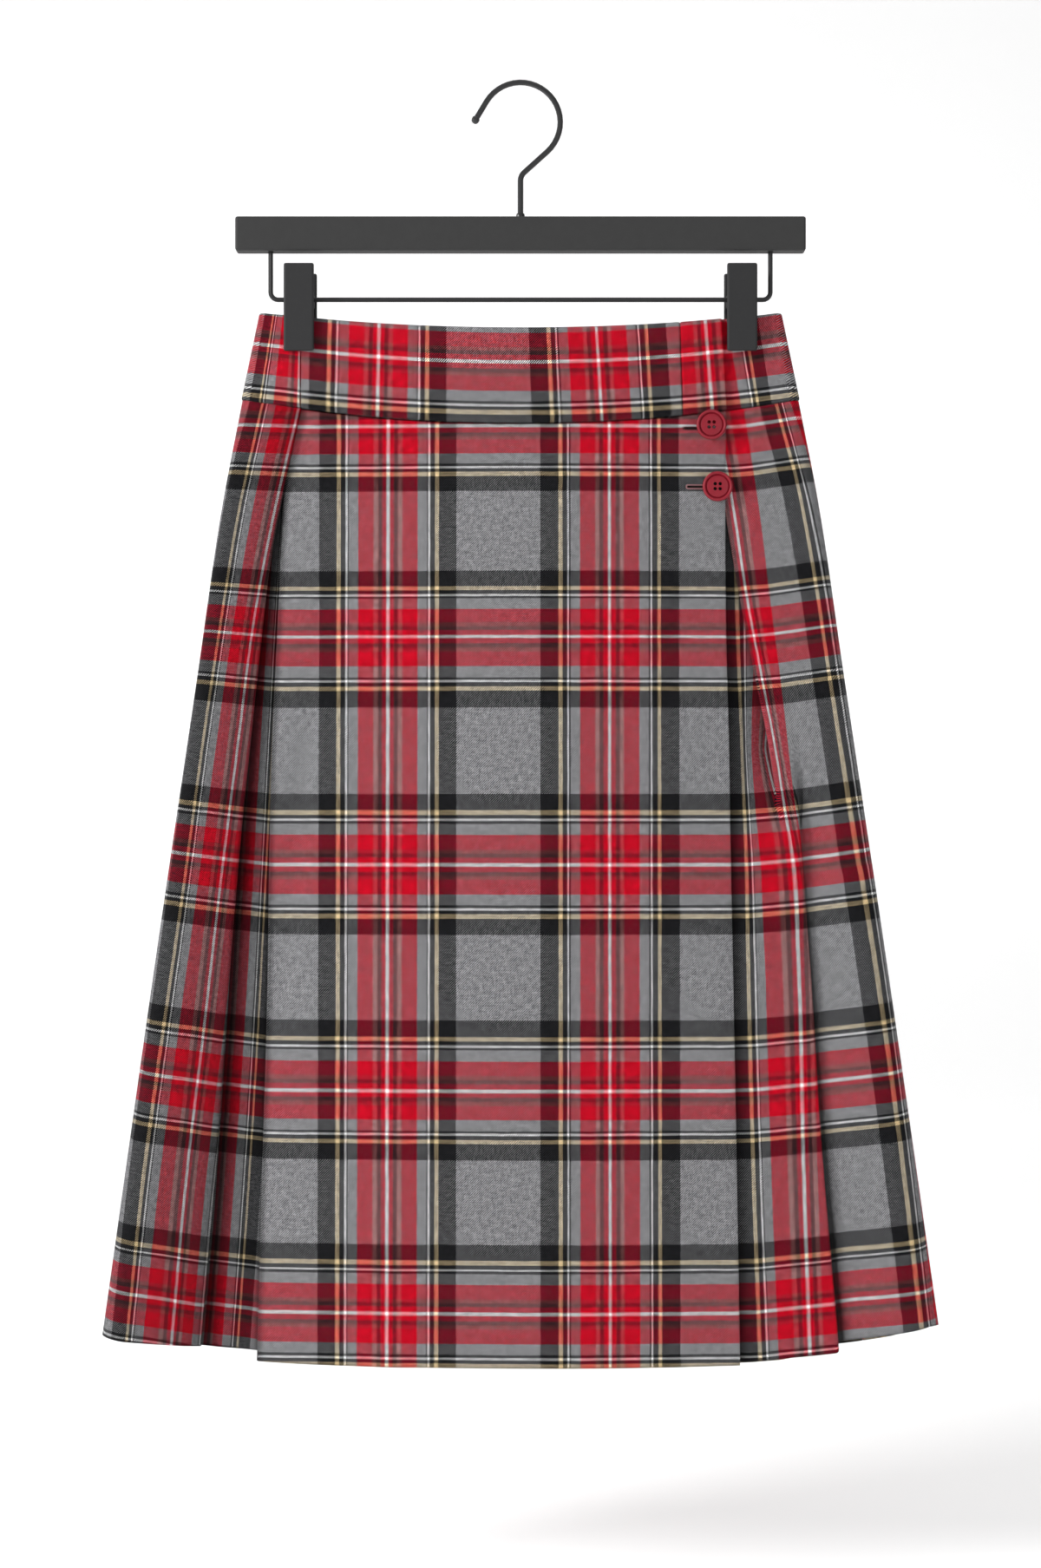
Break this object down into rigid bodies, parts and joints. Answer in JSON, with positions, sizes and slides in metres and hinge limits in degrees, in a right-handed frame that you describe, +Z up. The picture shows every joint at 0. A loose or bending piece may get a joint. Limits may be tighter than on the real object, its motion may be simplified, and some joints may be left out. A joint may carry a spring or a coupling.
{
  "type": "tartan wrap kilt on a clip hanger",
  "caption": "A-line tartan wrap kilt with a flat over apron, side pleats, knife-pleated back and contoured waistband, hung by clips from a bar hanger with a wire hook.",
  "frame": {"origin": "inside of the crown of the hanger's hook, where a rail carries it", "axes": "+Z up, the kilt's front faces -Y, +X is to the right of someone looking at the front"},
  "size_m": [0.5586, 0.0562, 0.8543],
  "materials": {
    "tartan_cloth": "worsted twill tartan in red, grey, black, white and tan",
    "button_plastic": "satin dusty-red plastic",
    "black_wire": "satin black coated steel wire",
    "black_bar": "matte black",
    "black_clip": "matte black plastic"
  },
  "bodies": {
    "root": {"front_apron": "tartan_cloth", "under_apron": "tartan_cloth", "right_side_panel": "tartan_cloth", "back_pleats_right": "tartan_cloth", "back_pleats_left": "tartan_cloth", "left_side_panel": "tartan_cloth", "waistband_front": "tartan_cloth", "waistband_tab": "tartan_cloth", "waistband_round": "tartan_cloth", "button_upper": "button_plastic", "button_lower": "button_plastic", "hanger_hook": "black_wire", "hook_tip": "black_wire", "hook_collar": "black_wire", "clip_rail": "black_wire", "hanger_bar": "black_bar", "clip_left_front_jaw": "black_clip", "clip_left_back_jaw": "black_clip", "clip_right_front_jaw": "black_clip", "clip_right_back_jaw": "black_clip"}
  },
  "joints": []
}
